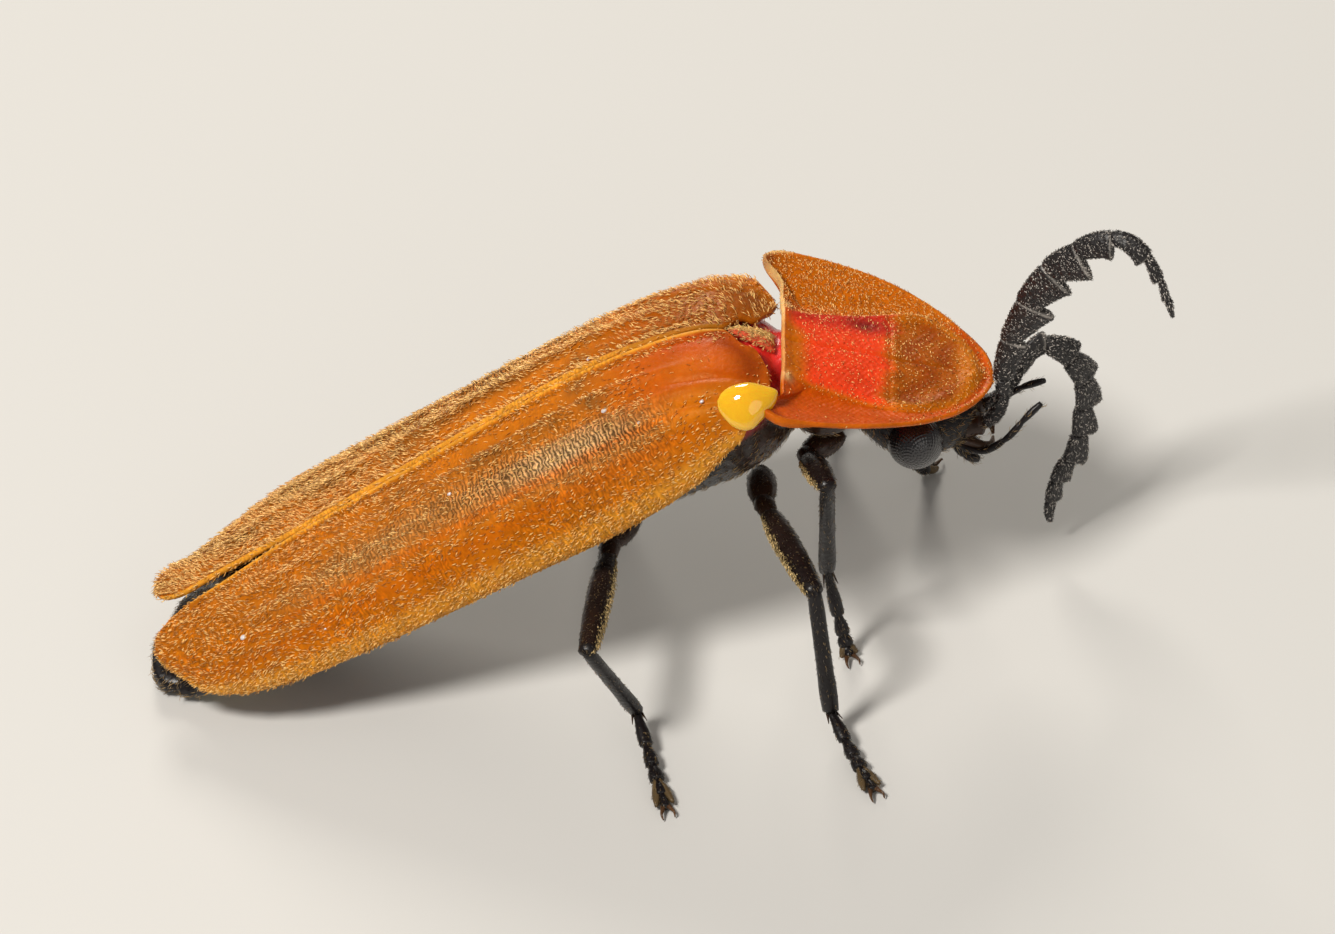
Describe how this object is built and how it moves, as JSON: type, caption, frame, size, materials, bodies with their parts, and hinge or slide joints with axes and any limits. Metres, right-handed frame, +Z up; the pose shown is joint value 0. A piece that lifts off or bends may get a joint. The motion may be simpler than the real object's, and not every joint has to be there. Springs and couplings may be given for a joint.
{
  "type": "firefly",
  "caption": "Orange firefly standing on its feet and abdomen tip: broad shield over the head, long ribbed wing cases, toothed black feelers, a yellow drop at one shoulder.",
  "frame": {"origin": "on the floor, under the middle of the model's bounding box", "axes": "+X forward to the head, +Y to the insect's left, +Z up"},
  "size_m": [0.022, 0.0134, 0.0094],
  "materials": {
    "shield": "granular satin shell, orange with a red disc",
    "wing_case": "satin orange shell under short golden hair",
    "head_shell": "black shell, satin",
    "trunk": "dark brown shell under fine hair",
    "abdomen_shell": "black-brown shell, satin",
    "lantern_skin": "pale waxy skin",
    "eye": "black, glossy, faceted",
    "feeler": "black, rough with bristles",
    "leg_shell": "black with bronze hair",
    "fluid": "opaque yellow drop, wet gloss"
  },
  "bodies": {
    "root": {"pronotum": "shield", "prosternum": "trunk", "head": "head_shell", "eye_right": "eye", "eye_left": "eye", "antenna_right": "feeler", "antenna_left": "feeler", "thorax": "trunk", "elytron_right": "wing_case", "elytron_left": "wing_case", "abdomen": "abdomen_shell", "lantern": "lantern_skin", "abdomen_tip": "abdomen_shell", "leg_front_right": "leg_shell", "leg_front_left": "leg_shell", "leg_mid_right": "leg_shell", "leg_mid_left": "leg_shell", "leg_hind_right": "leg_shell", "leg_hind_left": "leg_shell", "humeral_drop": "fluid"}
  },
  "joints": []
}
